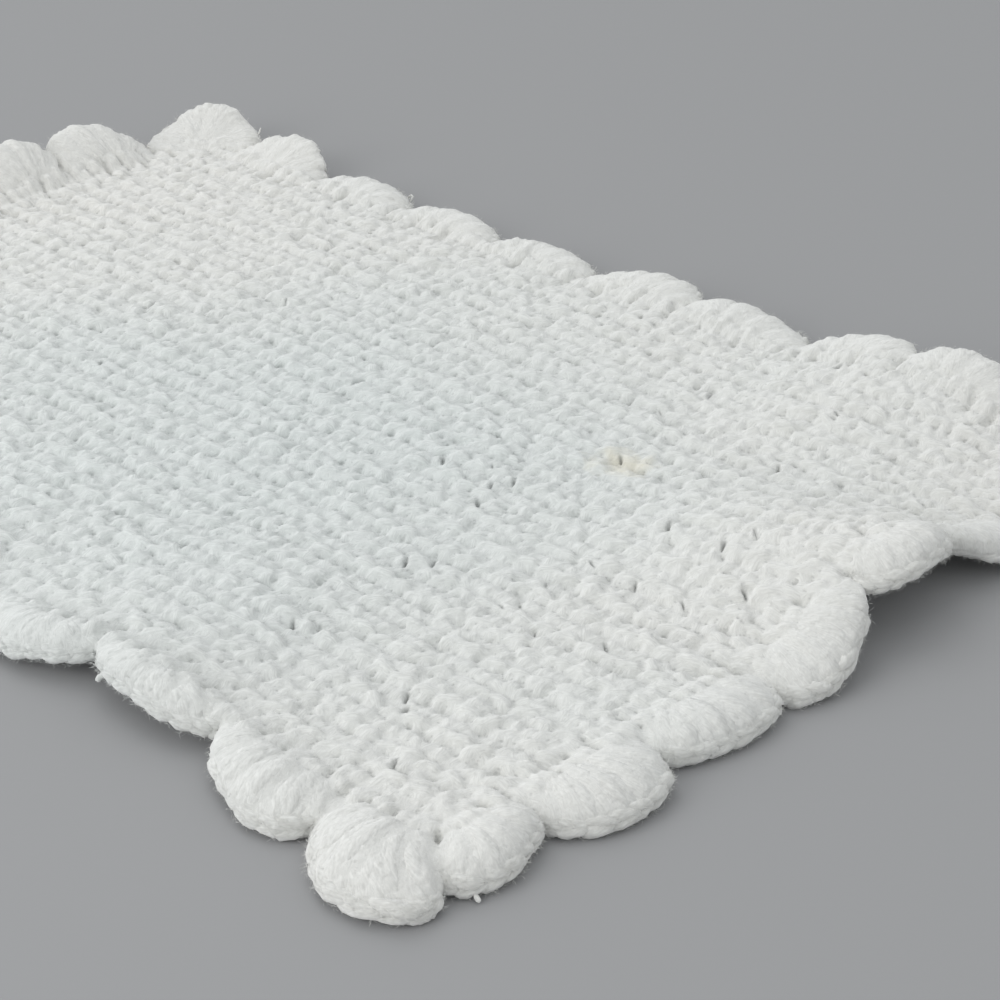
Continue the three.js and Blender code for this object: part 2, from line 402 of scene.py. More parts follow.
def lift_at(x, y):
    """How far the folds lift the mat off the table."""
    lift = np.zeros(x.shape)
    for start, end, half, first, last in FOLDS:
        from_x, from_y = start[0] * MM - CENTRING[0], start[1] * MM - CENTRING[1]
        run_x, run_y = (end[0] - start[0]) * MM, (end[1] - start[1]) * MM
        t = np.clip(((x - from_x) * run_x + (y - from_y) * run_y) / (run_x ** 2 + run_y ** 2), 0, 1)
        away = np.hypot(x - from_x - t * run_x, y - from_y - t * run_y)
        crest = (first + (last - first) * smooth(t)) * MM
        lift += crest * smooth(np.clip(1 - away / (half * MM), 0, 1))
    return lift


def out_of_mat(x, y):
    """The direction straight up out of the cloth at each place."""
    step = 2 * MM
    rise_x = (lift_at(x + step, y) - lift_at(x - step, y)) / (2 * step)
    rise_y = (lift_at(x, y + step) - lift_at(x, y - step)) / (2 * step)
    return unit(np.stack([-rise_x, -rise_y, np.ones_like(x)], -1))


# gaps left between stitches, in millimetres: those that show most, and others here and there
GAPS = [
    (65, 7), (65, 32), (70, 14), (90, 12), (82, 24), (87, 5), (71, -4), (58, 16), (78, 80), (74, 73),
    (90, 80), (103, 46), (169, 13), (173, 22), (176, -13), (159, -13), (140, -29), (142, -12), (187, 0),
    (194, -11), (139, -46), (92, -6), (103, -47), (79, 14), (108, -41), (186, 16), (52, -86), (190, -144),
]
OTHER_GAPS = 24
GAPS_WITHIN = (203, 138)
GAP_WIDTH = 1.6 * MM
GAP_NARROWING = 0.7
GAP_RUN = 2.3
GAP_RUN_STRAY = 0.35
GAP_HALF_LENGTH = 4 * MM
GAP_HALF_WIDTH = 0.9 * MM
GAP_SIZES = (0.4, 0.95)
other_gaps = random.uniform(-1, 1, (OTHER_GAPS, 2)) * GAPS_WITHIN
gaps = np.concatenate([GAPS, other_gaps]) * MM
gap_slant = random.normal(GAP_RUN, GAP_RUN_STRAY, len(gaps))
gap_size = random.uniform(*GAP_SIZES, len(gaps))


def from_gap(x, y, gap, slant):
    """How far places lie along and across a gap, from its middle."""
    along = (x - gap[0]) * math.cos(slant) + (y - gap[1]) * math.sin(slant)
    across = (y - gap[1]) * math.cos(slant) - (x - gap[0]) * math.sin(slant)
    return along, across


def parted(x, y):
    """Places moved aside where a gap is left between stitches."""
    for gap, slant in zip(gaps, gap_slant):
        along, across = from_gap(x, y, gap, slant)
        away = np.maximum(np.hypot(GAP_NARROWING * along, across), 1e-6)
        wider = ((away ** 3 + GAP_WIDTH ** 3) ** (1 / 3) / away - 1) * across
        x = x - wider * math.sin(slant)
        y = y + wider * math.cos(slant)
    return x, y


def in_gap(x, y):
    """How far places lie inside a gap: 0 outside, up to 1 in the middle of a large one."""
    inside = np.zeros(x.shape)
    for gap, slant, size in zip(gaps, gap_slant, gap_size):
        along, across = from_gap(x, y, gap, slant)
        inside = np.maximum(inside, size - np.hypot(along / GAP_HALF_LENGTH, across / GAP_HALF_WIDTH))
    return inside


def on_mat(x, y, above, under=False):
    """Points at a height above the mat's upper face, or above its lower face."""
    base = np.stack([x, y, lift_at(x, y) if under else face_height(x, y)], -1)
    return base + np.broadcast_to(above, x.shape)[..., None] * out_of_mat(x, y)


def on_ground(centre_x, centre_y, shape, turn, size, under=False):
    """Paths of one strand of every stitch, set on the ground from its points in the stitch."""
    along, across, above = (size[:, None] * np.array(column)[None] * MM for column in zip(*shape))
    x = centre_x[:, None] + along * np.cos(turn)[:, None] - across * np.sin(turn)[:, None]
    y = centre_y[:, None] + along * np.sin(turn)[:, None] + across * np.cos(turn)[:, None]
    return on_mat(*parted(x, y), above, under)


# along, across and above the ground, in millimetres, of each strand of a stitch
LEG_FRONT = [(1.3, -3.3, -3.2), (1.5, -1.7, -1.7), (1.9, 0.0, -1.3), (2.2, 1.7, -1.7), (2.5, 3.3, -3.2)]
BAR_BACK = [(-4.4, -0.4, -1.9), (-2.1, 0.6, -0.5), (0.0, 1.0, -0.4), (2.1, 1.5, -0.5), (4.4, 2.0, -1.9)]
LEG_BACK = [(1.2, 2.0, -2.8), (1.5, 0.6, -1.3), (1.8, -0.8, -1.0), (2.1, -2.2, -1.4), (2.4, -3.6, -2.9)]


def other_leg(shape):
    """The second leg of a stitch, the mirror image of the first."""
    return [(-along, across, above) for along, across, above in shape]


# hand work strays: rows lean and wander, and stitches lie aside, turned and of other sizes (in millimetres)
ROW_SHIFT = 0.12
ROW_LEAN = 0.25
LEAN_TURN = 1.7
ROW_WANDER = 0.5 * MM
WANDER_STITCHES = 6.1
WANDER_TURN = 2.3
STRAY_ALONG = 0.6
STRAY_ACROSS = 0.5
STITCH_TURN = 0.2
STITCH_SIZE = 1.02
SIZE_STRAY = 0.07
LEG_TURN = 0.28
BAR_TURN = 0.2
STRAND_RISE = 0.3


def stitch_places(rows, offset, phase):
    """Centres of the stitches of every second row, with their turns and sizes."""
    row, stitch = np.meshgrid(rows, np.arange(STITCHES), indexing="ij")
    lean = phase + ROW_LEAN * np.sin(LEAN_TURN * row)
    x = GROUND_HALF[0] * (2 * (stitch + 0.5 + lean) / STITCHES - 1)
    y = GROUND_HALF[1] * (2 * (row + offset) / RIDGES - 1)
    y = y + ROW_WANDER * np.sin(stitch / WANDER_STITCHES + WANDER_TURN * row)
    x, y = x.ravel(), y.ravel()
    x = x + random.normal(0, STRAY_ALONG, x.size) * MM
    y = y + random.normal(0, STRAY_ACROSS, x.size) * MM
    turn = random.normal(0, STITCH_TURN, x.size)
    size = random.normal(STITCH_SIZE, SIZE_STRAY, x.size)
    return x, y, turn, size


front = stitch_places(np.arange(RIDGES + 1), 0, ROW_SHIFT)
back = stitch_places(np.arange(RIDGES), 0.5, -ROW_SHIFT)


def ground_strands(places, shape, stray, under=False):
    """Paths of one strand of each stitch, with the strays of hand work."""
    x, y, turn, size = places
    path = on_ground(x, y, shape, turn + random.normal(0, stray, x.size), size, under)
    if not under:
        path[..., 2] += random.normal(0, STRAND_RISE, (x.size, 1)) * MM
    return path


# the ground is laid in bands of rows
BANDS = 3
BAND_REACH = 1.1
ground_pieces = []
bands = np.linspace(-BAND_REACH, BAND_REACH, BANDS + 1) * GROUND_HALF[1]
for band in range(BANDS):
    in_front, in_back = (
        tuple(column[(places[1] >= bands[band]) & (places[1] < bands[band + 1])] for column in places)
        for places in (front, back))
    legs = np.concatenate([
        ground_strands(places, shape, LEG_TURN)
        for places, leg in ((in_front, LEG_FRONT), (in_back, LEG_BACK))
        for shape in (leg, other_leg(leg))])
    bars = ground_strands(in_back, BAR_BACK, BAR_TURN)
    for kind, paths, radius in (("legs", legs, LEG_RADIUS), ("bars", bars, BAR_RADIUS)):
        thickness = radius * random.normal(1, THICKNESS_STRAY, len(paths))
        ground_pieces.append(
            lay_strands(f"ground_{kind}_{band + 1}", ground_strand, paths, thickness, GROUND_FLAT))

# the same rows from below, where fronts show as backs and backs as fronts
BAR_UNDER = [(-4.1, 0.0, 2.8), (-1.5, 0.4, 1.7), (1.5, 0.4, 1.7), (4.1, 0.0, 2.8)]
LEG_UNDER = [(0.9, -3.9, 2.8), (1.5, -1.3, 1.7), (2.1, 1.3, 1.7), (2.6, 3.9, 2.8)]
UNDER_RADIUS = 2.3 * MM
UNDER_FLAT = 0.68
under_paths = np.concatenate([
    ground_strands(front, BAR_UNDER, BAR_TURN, under=True),
    ground_strands(back, LEG_UNDER, LEG_TURN, under=True),
    ground_strands(back, other_leg(LEG_UNDER), LEG_TURN, under=True)])
under_radius = np.full(len(under_paths), UNDER_RADIUS)
ground_under = lay_strands("ground_under", low_strand, under_paths, under_radius, UNDER_FLAT)
hand_in(ground_under)

# The edging
# Round the ground goes one round of single crochet, and into it the shells: fans of double crochet posts
# that all spring from one stitch, each tied down between its neighbours. A braid of chain caps the rim.
HOLLOW_LINE = (431 * MM, 301 * MM)
CORNER_RADIUS = 20 * MM
SHELL_REACH = 12 * MM
SHELL_UNEVEN = 0.1
UNEVEN_TURN = 2.4
# name, outward normal, first and last hollow from the edge's middle in millimetres, shells between them
EDGES = (
    ("near_short", (1, 0), -152, 131, 7),
    ("far_long", (0, 1), -178, 182, 8),
    ("far_short", (-1, 0), -121, 150, 7),
    ("near_long", (0, -1), -187, 176, 8),
)
# edge, hollow: how far it strays along and outwards in millimetres, and its shell's reach and lean
STRAYS = {
    ("near_short", 0): (-1, 6, 0.45, 0), ("near_short", 1): (-4, -1, 1.1, 0),
    ("near_short", 2): (-3, 0, 0.85, 0), ("near_short", 3): (1, 3, 0.9, 0),
    ("near_short", 4): (4, -3, 1, 0), ("near_short", 5): (4, -5, 1, 0),
    ("far_long", 1): (-1, 2, 1, 0), ("far_long", 2): (-4, 1, 1, 0),
    ("far_long", 3): (-1, 2, 0.9, 0), ("far_long", 4): (-1, -2, 0.9, 0),
    ("far_long", 5): (2, -2, 1, 0), ("far_long", 6): (3, -2, 1, 0),
    ("far_long", 7): (4, -2, 1.1, 0), ("far_long", 8): (4, 1, 1.25, -3),
    ("far_short", 0): (0, -2, 1, 0), ("far_short", 1): (6, 3, 1, 0),
    ("near_long", 5): (-2, -5, 1, 0), ("near_long", 6): (-3, -8, 0.85, 0),
    ("near_long", 7): (0, -7, 1.05, 0), ("near_long", 8): (0, 3, 1.6, 8),
}
PERIMETER = 2 * sum(HOLLOW_LINE)
edge_lengths = np.array([HOLLOW_LINE[1], HOLLOW_LINE[0]] * 2)
edge_starts = np.concatenate([[0], np.cumsum(edge_lengths)[:-1]])
edge_normals = np.array([normal for _, normal, *_ in EDGES], float)


def on_walk(distance, offset):
    """Places at a distance along the line of the hollows, moved outwards by an offset; corners are arcs."""
    distance, offset = np.broadcast_arrays(np.asarray(distance, float) % PERIMETER, offset)
    index = np.searchsorted(edge_starts, distance, side="right") - 1
    normal = edge_normals[index]
    half = edge_lengths[index] / 2
    along = distance - edge_starts[index] - half
    straight = half - CORNER_RADIUS
    past = np.maximum(0, np.abs(along) - straight) * np.sign(along)
    turn = past / CORNER_RADIUS * math.pi / 4
    across = edge_lengths[(index + 1) % 4] / 2 - CORNER_RADIUS
    out = across + (CORNER_RADIUS + offset) * np.cos(turn)
    on = np.clip(along, -straight, straight) + (CORNER_RADIUS + offset) * np.sin(turn)
    x = out * normal[..., 0] - on * normal[..., 1]
    y = out * normal[..., 1] + on * normal[..., 0]
    return x, y


hollow_names, hollow_at, hollow_out, shell_reach, shell_lean = [], [], [], [], []
for index, (name, _, first, last, shells) in enumerate(EDGES):
    for hollow in range(shells + 1):
        stray, out, reach, lean = STRAYS.get((name, hollow), (0, 0, 1, 0))
        even = first + (last - first) * hollow / shells
        hollow_names.append((name, hollow))
        hollow_at.append(edge_starts[index] + edge_lengths[index] / 2 + (even + stray) * MM)
        hollow_out.append(out * MM)
        uneven = 1 + SHELL_UNEVEN * math.sin(UNEVEN_TURN * len(shell_reach))
        shell_reach.append(SHELL_REACH * reach * uneven)
        shell_lean.append(lean * MM)
hollow_at, hollow_out, shell_reach, shell_lean = map(
    np.array, (hollow_at, hollow_out, shell_reach, shell_lean))
shell_width = (np.roll(hollow_at, -1) - hollow_at) % PERIMETER
next_out = np.roll(hollow_out, -1)
SHELLS = len(hollow_at)


def rim_walk(shell, angle):
    """Distance and offset of a shell's rim at an angle from its first hollow, 0, to its second, pi."""
    part = (1 - np.cos(angle)) / 2
    line = hollow_out[shell] + (next_out - hollow_out)[shell] * (1 - np.cos(math.pi * part)) / 2
    distance = hollow_at[shell] + shell_width[shell] * part + shell_lean[shell] * np.sin(angle)
    return distance, line + shell_reach[shell] * np.sin(angle)


def on_edge(distance, offset, above, under=False):
    """Points of the edging at a height above the mat's upper face, or above its lower face."""
    x, y = on_walk(distance, offset)
    return on_mat(x - CENTRING[0], y - CENTRING[1], above, under)


edging_strand = model_strand(sides=7, steps=6)

# the round of single crochet that carries the shells: two strands of each leg, and how they stray in size,
# slant, place and height
ROUND_STITCHES = 190
ROUND_LINE = -13.5 * MM
ROUND_SPACING_STRAY = 0.05
INNER_LEG = [(0.6, -6.2, -1.8), (1.1, -4.0, -0.8), (1.6, -1.8, -0.5), (2.0, 0.6, -1.6)]
OUTER_LEG = [(2.0, -1.2, -1.5), (1.6, 1.2, -0.4), (1.4, 3.8, 0.0), (1.2, 6.8, -0.8)]
ROUND_STRAYS = ((0.97, 0.1), (0, 0.22), (0, 0.7), (0, 0.25))
round_stray = random.normal(0, ROUND_SPACING_STRAY, ROUND_STITCHES)
round_at = (np.arange(ROUND_STITCHES) + round_stray) * PERIMETER / ROUND_STITCHES


def on_round(shape):
    """Paths of one strand of each stitch of the round."""
    along, across, above = (np.array(column)[None] * MM for column in zip(*shape))
    size, slant, stray, rise = (
        random.normal(middle, spread, (ROUND_STITCHES, 1)) for middle, spread in ROUND_STRAYS)
    return on_edge(round_at[:, None] + along * size + slant * across,
                   ROUND_LINE + stray * MM + across * size, above + rise * MM)


round_paths = np.concatenate([
    on_round(shape) for leg in (INNER_LEG, OUTER_LEG) for shape in (leg, other_leg(leg))])

# the posts of each shell, fanning out from one stitch of that round
POST_SPACING = 2.8 * MM
POST_STRAY = 0.1
POST_RISE = 0.14
FAN_FOOT = -9 * MM
FOOT_SPREAD = 0.62
FAN_ENDS = (0.01, 0.99)
POST_SHARE = np.array([0, 0.16, 0.36, 0.58, 0.78, 0.93, 1.0])
POST_SINK = np.array([-0.9, -0.3, -0.5, -0.9, -1.1, -1.6, -2.8]) * MM
POST_RADIUS = np.array([1.8, 2.0, 2.3, 2.6, 2.8, 2.8, 2.4]) * MM
POST_INSET = 1.6 * MM
POST_UNDER = np.array([2.4, 1.8, 1.6, 1.6, 1.7, 1.9, 2.4]) * MM
UNDER_INSET = 2.6 * MM
RIM_POINTS = 41
rim_x, rim_y = on_walk(*rim_walk(np.arange(SHELLS)[:, None], np.linspace(0, math.pi, RIM_POINTS)))
rim_length = np.hypot(np.diff(rim_x), np.diff(rim_y)).sum(1)
posts = np.rint(rim_length / POST_SPACING).astype(int)
post_shell = np.repeat(np.arange(SHELLS), posts)
post_spread = np.concatenate([(np.arange(count) + 0.5) / count for count in posts])
post_spread = post_spread + random.normal(0, POST_STRAY, post_shell.size) / posts[post_shell]


def on_shell(shell, spread, share, above, inset, under=False):
    """Points of a shell: a share of the way from foot to rim, spread from one hollow, 0, to the next, 1."""
    rim_at, rim_out = rim_walk(shell, math.pi * np.clip(spread, *FAN_ENDS))
    foot_at = hollow_at[shell] + shell_width[shell] * (0.5 + FOOT_SPREAD * (spread - 0.5))
    share = share * (1 - inset / np.hypot(rim_at - foot_at, rim_out - FAN_FOOT))
    distance = foot_at + (rim_at - foot_at) * share
    return on_edge(distance, FAN_FOOT + (rim_out - FAN_FOOT) * share, above, under)


post_above = POST_SINK + random.normal(0, POST_RISE, (post_shell.size, 1)) * MM
post_paths = on_shell(post_shell[:, None], post_spread[:, None], POST_SHARE, post_above, POST_INSET)
below_paths = on_shell(
    post_shell[:, None], post_spread[:, None], POST_SHARE, POST_UNDER, UNDER_INSET, under=True)

# the stitch that ties the fans down between each two shells
TIE_LEG = [(0.3, -11, -1.7), (0.6, -8.6, -0.8), (1.0, -6, -0.5), (1.2, -3.8, -0.8), (1.2, -2.0, -1.8)]
TIE_PLACES = (-5.4, -1.6, 1.6, 5.4)
TIE_STRAY = 0.5
TIE_BACK = 0.25
along, across, above = (np.array(column)[None] * MM for column in zip(*TIE_LEG))
tie_paths = []
for place in TIE_PLACES:
    tie_stray, tie_rise = random.normal(0, TIE_STRAY, (2, SHELLS, 1)) * MM
    tie_paths.append(on_edge(hollow_at[:, None] + place * MM + np.sign(place) * along + tie_stray,
                             hollow_out[:, None] + across - TIE_BACK * abs(place) * MM, above + tie_rise))
tie_paths = np.concatenate(tie_paths)

# the braid along the rim: two strands for each link, one from above and one from below
LINKS = 9
LINK_PLACE = np.array([-0.8, -0.3, 0.25, 0.85])
LINK_ENDS = (0.03, 0.97)
LINK_STRAY = 0.15
LINK_SLIP = 0.008
UPPER_LINK = {"inset": np.array([4.0, 2.6, 1.8, 1.7]) * MM, "height": np.array([4.4, 4.3, 3.8, 3.0]) * MM}
LOWER_LINK = {"inset": np.array([3.2, 2.0, 1.7, 1.7]) * MM, "height": np.array([1.8, 1.9, 2.2, 2.8]) * MM}
CROWN_RAISE = 0.5 * MM
link_shell, link_step = (
    grid.ravel() for grid in np.meshgrid(np.arange(SHELLS), np.arange(LINKS), indexing="ij"))
link_angle = math.pi * np.clip((link_step[:, None] + 0.5 + LINK_PLACE) / LINKS, *LINK_ENDS)
rim_paths = []
for strand_of_link in (UPPER_LINK, LOWER_LINK):
    stray_in, stray_up = random.normal(0, LINK_STRAY, (2, link_shell.size, 1)) * MM
    slip = random.normal(0, LINK_SLIP, (link_shell.size, 1))
    rim_paths.append(on_shell(
        link_shell[:, None], link_angle / math.pi + slip, 1,
        strand_of_link["height"] + CROWN_RAISE * np.sin(link_angle) + stray_up,
        strand_of_link["inset"] + stray_in, under=True))
rim_paths = np.concatenate(rim_paths)

# loose ends on the rims of four shells: along the rim, outwards and up, in millimetres
LOOP = [
    (-1.6, -1.5, 0), (-1.8, 0.8, 1.6), (-0.4, 1.8, 2.8), (1.2, 1.4, 2.2), (1.6, 0.2, 0.8), (1.2, -1.5, 0),
]
KNOT = [(-0.7, -1.2, -1.2), (-0.3, 0.2, -1.6), (0.1, 1.0, -1.9), (0.7, 1.8, -2.3)]
SPIKE = [(0, -1.5, 0), (0.2, 0.2, 0.8), (0.5, 1.2, 1.8), (0.7, 1.8, 3.0)]
# edge, hollow, share of the way to the next hollow, shape and radius in millimetres
LOOSE_ENDS = (
    ("far_long", 6, 0.31, LOOP, 0.4), ("near_long", 6, 0.28, KNOT, 0.8),
    ("near_short", 0, 0.33, KNOT, 0.7), ("far_long", 8, 0.22, SPIKE, 0.35),
)
LOOSE_HEIGHT = 3 * MM
LOOSE_STEPS = 5
LOOSE_FLAT = 1
BESIDE = 0.02
INSIDE = 0.9
loose_paths = []
for name, hollow, at, shape, _ in LOOSE_ENDS:
    rim, inside, beside = on_shell(
        hollow_names.index((name, hollow)), np.array([at, at, at + BESIDE]), np.array([1, INSIDE, 1]),
        LOOSE_HEIGHT, inset=0, under=True)
    axes = np.stack([unit(beside - rim), unit(rim - inside), (0, 0, 1)])
    loose_paths.append(curve_through((rim + np.array(shape) * MM @ axes)[None], LOOSE_STEPS))
loose_paths = np.concatenate(loose_paths)
loose_radius = np.array([radius for *_, radius in LOOSE_ENDS]) * MM

# the strands that fuse with the ground come first; posts and rims then lie on that bed as strands
RIM_RADIUS = 1.8 * MM
TIE_RADIUS = 2.2 * MM
POST_UNEVEN = 0.06
EDGING_UNEVEN = 0.1
POST_BED = 1.2
POST_BED_FLAT = 0.4
POST_FLAT = 0.5
RIM_BED = 0.75
RIM_FLAT = 0.9
ROUND_FLAT = 0.9
TIE_FLAT = 0.55
SHELL_UNDER_FLAT = 0.55
post_radius = POST_RADIUS[None] * random.normal(1, POST_UNEVEN, (len(post_paths), 1))
rim_radius = RIM_RADIUS * random.normal(1, EDGING_UNEVEN, len(rim_paths))
edging_pieces = [
    lay_strands("edging_round", ground_strand, round_paths,
                LEG_RADIUS * random.normal(1, EDGING_UNEVEN, len(round_paths)), ROUND_FLAT),
    lay_strands("post_bed", edging_strand, post_paths, POST_BED * post_radius, POST_BED_FLAT),
    lay_strands("shell_ties", ground_strand, tie_paths,
                TIE_RADIUS * random.normal(1, EDGING_UNEVEN, len(tie_paths)), TIE_FLAT),
    lay_strands("rim_bed", edging_strand, rim_paths, RIM_BED * rim_radius, RIM_FLAT),
]
shell_posts = lay_strands("shell_posts", edging_strand, post_paths, post_radius, POST_FLAT)
shell_rims = lay_strands("shell_rims", edging_strand, rim_paths, rim_radius, RIM_FLAT)
loose_ends = lay_strands("loose_ends", edging_strand, loose_paths, loose_radius, LOOSE_FLAT)
under_post_radius = POST_RADIUS[None] * np.ones((len(below_paths), 1))
shell_under = lay_strands("shell_under", low_strand, below_paths, under_post_radius, SHELL_UNDER_FLAT)
for piece in (shell_posts, shell_rims, loose_ends, shell_under):
    hand_in(piece)

# The matted face
# Washed and used, the cotton has felted a little: on the upper side and round the rim the strands run softly
# into each other, so the mat shows rows of rounded lumps with shallow creases between them.
VOXEL = 0.7 * MM
FACE_SHARE = 0.52
FACE_BANDS = 4
LOWER_SIDE = 4 * MM
FACES_DOWN = -0.88
GAP_DEPTH = 3 * MM
# painted shade, much darker, in the gaps between stitches
GAP_PAINTED_SHADE = 2.5
BODY_LOWER = 1.5 * MM
# painted shade: the hollowness at which shade starts to be painted into the creases, and the span over which
# it deepens
PAINTED_SHADE_FROM_CURVE = 0.3
PAINTED_SHADE_CURVE_SPAN = 0.45

matted = ground_pieces + edging_pieces
on_face = [piece.name for piece in matted]
face = take_copy(cloth, "face")
for piece in matted:
    piece.select_set(True)
bpy.ops.object.join()
fused = face.modifiers.new("fused", "REMESH")
fused.mode = "VOXEL"
fused.voxel_size = VOXEL
fused.use_smooth_shade = True
bpy.ops.object.modifier_apply(modifier=fused.name)


def above_lower_face(points):
    """How high points lie above the mat's lower face."""
    return points[:, 2] - lift_at(points[:, 0], points[:, 1])


def take_faces(chosen, split):
    """In the active mesh, the chosen faces are split off as an object of their own, or deleted."""
    bpy.ops.object.mode_set(mode="EDIT")
    bpy.ops.mesh.select_mode(type="FACE")
    bpy.ops.mesh.select_all(action="DESELECT")
    bpy.ops.object.mode_set(mode="OBJECT")
    bpy.context.active_object.data.polygons.foreach_set("select", chosen)
    bpy.ops.object.mode_set(mode="EDIT")
    if split:
        bpy.ops.mesh.separate(type="SELECTED")
    else:
        bpy.ops.mesh.delete(type="FACE")
    bpy.ops.object.mode_set(mode="OBJECT")


# the lower side is left open
bpy.ops.object.select_all(action="DESELECT")
face.select_set(True)
bpy.context.view_layer.objects.active = face
centres = read_out(face.data.polygons, "center", 3)
facing = read_out(face.data.polygons, "normal", 3)
take_faces((facing[:, 2] < FACES_DOWN) & (above_lower_face(centres) < LOWER_SIDE), split=False)

# gaps between stitches reach down into the cloth, whose body gives way under the whole face
face_points = read_out(face.data.vertices, "co", 3)
upper = above_lower_face(face_points) > LOWER_SIDE
face_points[:, 2] -= GAP_DEPTH * in_gap(face_points[:, 0], face_points[:, 1]) * upper
face.data.vertices.foreach_set("co", face_points.ravel())
face.data.update()
for point in cloth.data.vertices:
    if point.normal.z > FACES_UP:
        point.co.z -= BODY_LOWER
thinned = face.modifiers.new("thinned", "DECIMATE")
thinned.ratio = FACE_SHARE
bpy.ops.object.modifier_apply(modifier=thinned.name)

# each point of the face takes its run of fibres from the strand it lies on
strand_parts = []
for number, piece_name in enumerate(on_face):
    centres, runs, sides, ups, radius, shift = laid[piece_name]
    lengths = np.linalg.norm(np.diff(centres, axis=1), axis=2)
    walked = np.concatenate([np.zeros((len(centres), 1)), np.cumsum(lengths, 1)], 1) / MM
    vectors = [values.reshape(-1, 3) for values in (centres, runs, sides, ups)]
    strand_parts.append(
        vectors + [radius.ravel(), (walked + shift[:, None]).ravel(), np.full(radius.size, number)])
strand_middle, strand_run, strand_side, strand_up, strand_thick, strand_walk, strand_kind = (
    np.concatenate(parts) for parts in zip(*strand_parts))
near_strand = KDTree(len(strand_middle))
for number, point in enumerate(strand_middle):
    near_strand.insert(point, number)
near_strand.balance()
face_points = read_out(face.data.vertices, "co", 3)
face_points[:, 2] = np.maximum(face_points[:, 2], 0)
face.data.vertices.foreach_set("co", face_points.ravel())
outward = read_out(face.data.vertices, "normal", 3)
nearest = np.array([near_strand.find(point)[1] for point in face_points])
off_middle = face_points - strand_middle[nearest]
along = (off_middle * strand_run[nearest]).sum(1) / MM + strand_walk[nearest]
turn = np.arctan2((off_middle * strand_side[nearest]).sum(1), (off_middle * strand_up[nearest]).sum(1))
around = turn * strand_thick[nearest] / MM + TWIST * along
for layer in list(face.data.uv_layers):
    face.data.uv_layers.remove(layer)
layer = face.data.uv_layers.new(name="strand")
corner_point = read_out(face.data.loops, "vertex_index", 1, int)
layer.data.foreach_set("uv", np.stack([along, around], -1)[corner_point].ravel())
face.data.materials.clear()
face.data.materials.append(cotton)

# painted shade: where the face is hollow, in the creases between strands, shade is painted into the cotton's
# colour, darkest in the gaps
ends = read_out(face.data.edges, "vertices", 2, int)
edge_square = ((face_points[ends[:, 0]] - face_points[ends[:, 1]]) ** 2).sum(1)
around_sum = np.zeros((len(face_points), 3))
around_count = np.zeros(len(face_points))
square_sum = np.zeros(len(face_points))
for first, second in ((0, 1), (1, 0)):
    np.add.at(around_sum, ends[:, first], face_points[ends[:, second]])
    np.add.at(around_count, ends[:, first], 1)
    np.add.at(square_sum, ends[:, first], edge_square)
dip = ((around_sum / around_count[:, None] - face_points) * outward).sum(1)
curve = 2 * dip / (square_sum / around_count) * MM
painted_shade = np.clip((curve - PAINTED_SHADE_FROM_CURVE) / PAINTED_SHADE_CURVE_SPAN, 0, 1)
painted_shade = np.maximum(painted_shade, GAP_PAINTED_SHADE * in_gap(face_points[:, 0], face_points[:, 1]))
crease = face.data.attributes.new("crease", "FLOAT", "POINT")
crease.data.foreach_set("value", painted_shade)
whole_normal = face.data.attributes.new("whole_normal", "FLOAT_VECTOR", "POINT")
whole_normal.data.foreach_set("vector", outward.ravel())

# the face is cut into bands, which keep its normals across the cuts
for band in range(FACE_BANDS - 1):
    middle_y = read_out(face.data.polygons, "center", 3)[:, 1]
    take_faces(middle_y < np.quantile(middle_y, 1 / (FACE_BANDS - band)), split=True)
face_pieces = list(bpy.context.selected_objects)
for number, piece in enumerate(face_pieces):
    piece.name = piece.data.name = f"face_{number + 1}"
    kept_normals = read_out(piece.data.attributes["whole_normal"].data, "vector", 3)
    piece.data.attributes.remove(piece.data.attributes["whole_normal"])
    piece.data.normals_split_custom_set_from_vertices(kept_normals.tolist())
    hand_in(piece)

# The fuzz
# Loose ends of the cotton's fibres stand off every strand, one or two millimetres long and fine as hair.
# They lie mostly along the strand, and make a soft halo along the mat's outline.
FIBRE_LENGTH = (0.8, 2.6)
FIBRE_WIDTH = 0.11 * MM
FIBRE_STRAY = 0.3
FIBRE_TURN = 0.45
FIBRE_LOWEST = 0.2 * MM
LOWER_LEAN = 1.2
UPPER_LEAN = 0.6
TIP_FALL = 0.1
KITE = np.array([0, 1, 3, 1, 2, 3])
# name, strands it stands on, fibres, how steeply they rise, and how far off the face they start
FUZZ = (
    ("ground_fuzz", "ground", 15000, 0.2, -0.1 * MM),
    ("shell_fuzz", ("edging_round", "post_bed", "shell_ties"), 14000, 0.3, 0),
    ("rim_fuzz", "rim_bed", 34000, 0.6, 0.4 * MM),
)


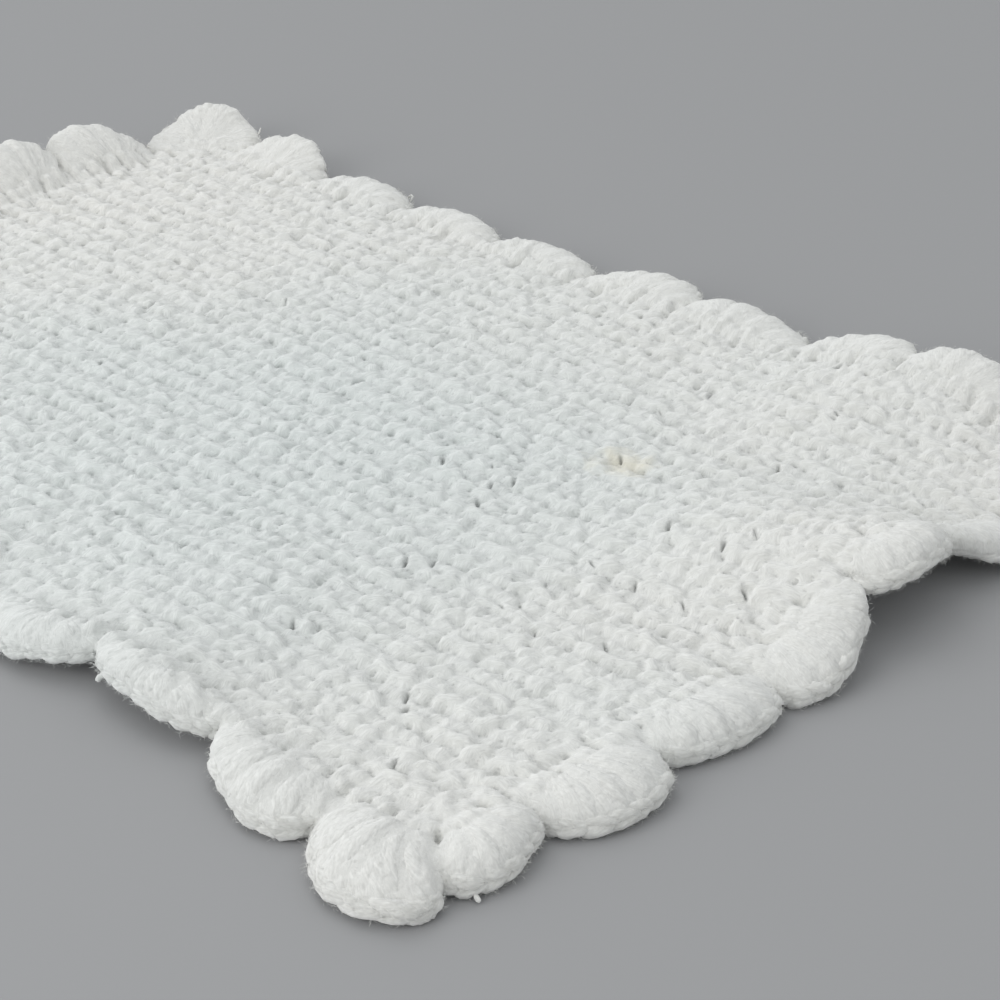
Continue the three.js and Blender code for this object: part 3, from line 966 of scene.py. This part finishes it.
def grow_fuzz(name, kinds, fibres, rise, off):
    """Fibres on some strands of the face, in one mesh: each is a thin kite, bent across its middle."""
    numbers = [number for number, piece_name in enumerate(on_face) if piece_name.startswith(kinds)]
    spots = np.flatnonzero(np.isin(strand_kind[nearest], numbers))
    spots = random.choice(spots, fibres)
    out = outward[spots]
    root = face_points[spots] + random.normal(0, FIBRE_STRAY, (fibres, 3)) * MM + off * out
    way = np.where(random.uniform(0, 1, fibres) < 0.5, -1, 1)[:, None] * strand_run[nearest[spots]]
    way = unit(way + random.normal(0, FIBRE_TURN, (fibres, 3)))
    way = unit(way - (way * out).sum(1)[:, None] * out)
    length = random.uniform(*FIBRE_LENGTH, fibres)[:, None] * MM
    lean = np.abs(random.normal(0, rise, fibres))[:, None]
    middle = root + 0.5 * length * unit(way + LOWER_LEAN * lean * out)
    tip = middle + 0.5 * length * unit(way + (UPPER_LEAN * lean - TIP_FALL) * out)
    across = FIBRE_WIDTH / 2 * unit(np.cross(tip - root, out))
    points = np.stack([root, middle - across, tip, middle + across], 1)
    points[..., 2] = np.maximum(points[..., 2], FIBRE_LOWEST)
    corners = points.shape[1] * np.arange(fibres)[:, None] + KITE
    fuzz = make_piece(name, points, corners, np.arange(0, corners.size, 3))
    hand_in(fuzz)
    return fuzz


fuzz_pieces = [grow_fuzz(*fuzz) for fuzz in FUZZ]

# The floor and the light
# A plain pale grey floor. The room's even light does most; a soft lamp low at the front left brings out
# the stitches, and a weaker one stands high at the far left.
FLOOR_SIZE = 30
FLOOR_COLOUR = (0.36, 0.36, 0.365, 1)
FLOOR_ROUGHNESS = 0.9
# name, place, size and power
LAMPS = (
    ("key", (-0.15, -1.35, 0.6), 1.0, 8.5),
    ("fill", (-0.9, 0.35, 1.5), 1.2, 4),
)
ROOM_COLOUR = (0.96, 0.985, 1.0, 1)
ROOM_STRENGTH = 0.70

bpy.ops.object.select_all(action="DESELECT")
bpy.ops.mesh.primitive_plane_add(size=FLOOR_SIZE)
floor = bpy.context.active_object
floor.name = "floor"
floor_paint = bpy.data.materials.new("pale_floor")
floor_paint.use_nodes = True
floor_shader = floor_paint.node_tree.nodes["Principled BSDF"]
floor_shader.inputs["Base Color"].default_value = FLOOR_COLOUR
floor_shader.inputs["Roughness"].default_value = FLOOR_ROUGHNESS
floor.data.materials.append(floor_paint)

for name, place, size, power in LAMPS:
    lamp = bpy.data.lights.new(name, "AREA")
    lamp.size = size
    lamp.energy = power
    light = bpy.data.objects.new(name, lamp)
    bpy.context.scene.collection.objects.link(light)
    light.location = place
    light.rotation_euler = Vector(place).to_track_quat("Z", "Y").to_euler()

world = bpy.data.worlds.new("soft_room")
world.use_nodes = True
room_light = world.node_tree.nodes["Background"]
room_light.inputs["Color"].default_value = ROOM_COLOUR
room_light.inputs["Strength"].default_value = ROOM_STRENGTH
bpy.context.scene.world = world
bpy.context.scene.view_settings.view_transform = "Standard"

# The camera
# It stands off the near corner, a little above the table, and frames that corner as the photograph does.
CAMERA_PLACE = (0.5593, -0.5010, 0.3587)
CAMERA_RIGHT = (0.7301, 0.6833, 0.0103)
CAMERA_UP = (-0.3196, 0.3281, 0.8889)
SENSOR = 36
LENS = 93.6
CLOSEST = 10 * MM

right = Vector(CAMERA_RIGHT).normalized()
above = Vector(CAMERA_UP)
above = (above - above.dot(right) * right).normalized()
towards_viewer = right.cross(above)
camera = bpy.data.objects.new("camera", bpy.data.cameras.new("camera"))
camera.data.sensor_width = SENSOR
camera.data.lens = LENS
camera.data.clip_start = CLOSEST
turned = Matrix((right, above, towards_viewer)).transposed().to_4x4()
camera.matrix_world = Matrix.Translation(CAMERA_PLACE) @ turned
bpy.context.scene.collection.objects.link(camera)
bpy.context.scene.camera = camera
